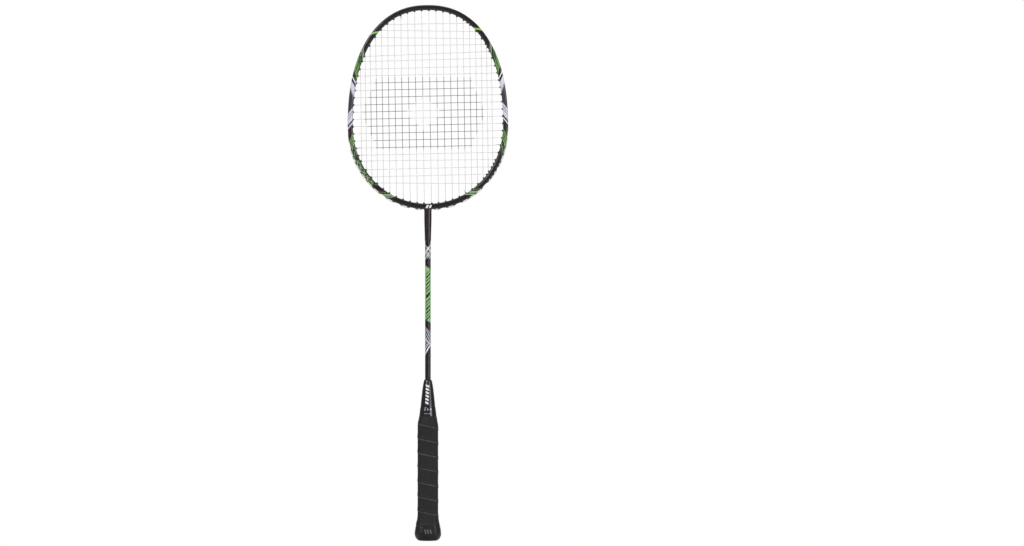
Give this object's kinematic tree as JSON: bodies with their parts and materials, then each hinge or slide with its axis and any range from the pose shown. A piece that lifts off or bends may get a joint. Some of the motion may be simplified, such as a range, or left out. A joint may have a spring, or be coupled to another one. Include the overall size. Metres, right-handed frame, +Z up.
{
  "type": "badminton racket",
  "caption": "Strung badminton racket with an oval hollow head, slim tubular shaft, glossy cone cap and a flared handle under a wound black grip.",
  "frame": {"origin": "centre of the butt cap's flat outer face", "axes": "+Z up the racket from the butt to the top of the head, +X across the head, +Y from the front of the racket to its back"},
  "size_m": [0.203, 0.0336, 0.675],
  "materials": {
    "head_paint": "gloss black paint with lime green, dark green and pale lilac panels over a fibre composite tube",
    "tee_metal": "cast, unpolished",
    "black_gloss": "gloss black",
    "shaft_paint": "gloss black paint with white crossed lines and green slashes",
    "cone_plastic": "high gloss black",
    "handle_wood": "plain sanded",
    "grip": "matte polyurethane tape with fine pores",
    "band": "gloss vinyl tape",
    "butt_plastic": "satin black",
    "steel": "bright wire",
    "string": "smooth coated multifilament, inked dark in one patch",
    "grommet": "satin black nylon"
  },
  "bodies": {
    "root": {"head_frame": "head_paint", "t_joint": "tee_metal", "throat_sleeve": "black_gloss", "shaft": "shaft_paint", "cone_cap": "cone_plastic", "handle_core": "handle_wood", "grip_tape": "grip", "finishing_band": "band", "butt_cap": "butt_plastic", "grip_staple": "steel", "main_string": "string", "cross_string": "string", "crown_grommets": "grommet", "left_shoulder_grommets": "grommet", "right_shoulder_grommets": "grommet", "left_side_grommets": "grommet", "right_side_grommets": "grommet", "left_heel_grommets": "grommet", "right_heel_grommets": "grommet", "throat_grommets": "grommet", "slanted_grommets": "grommet", "shared_grommets": "grommet"}
  },
  "joints": []
}
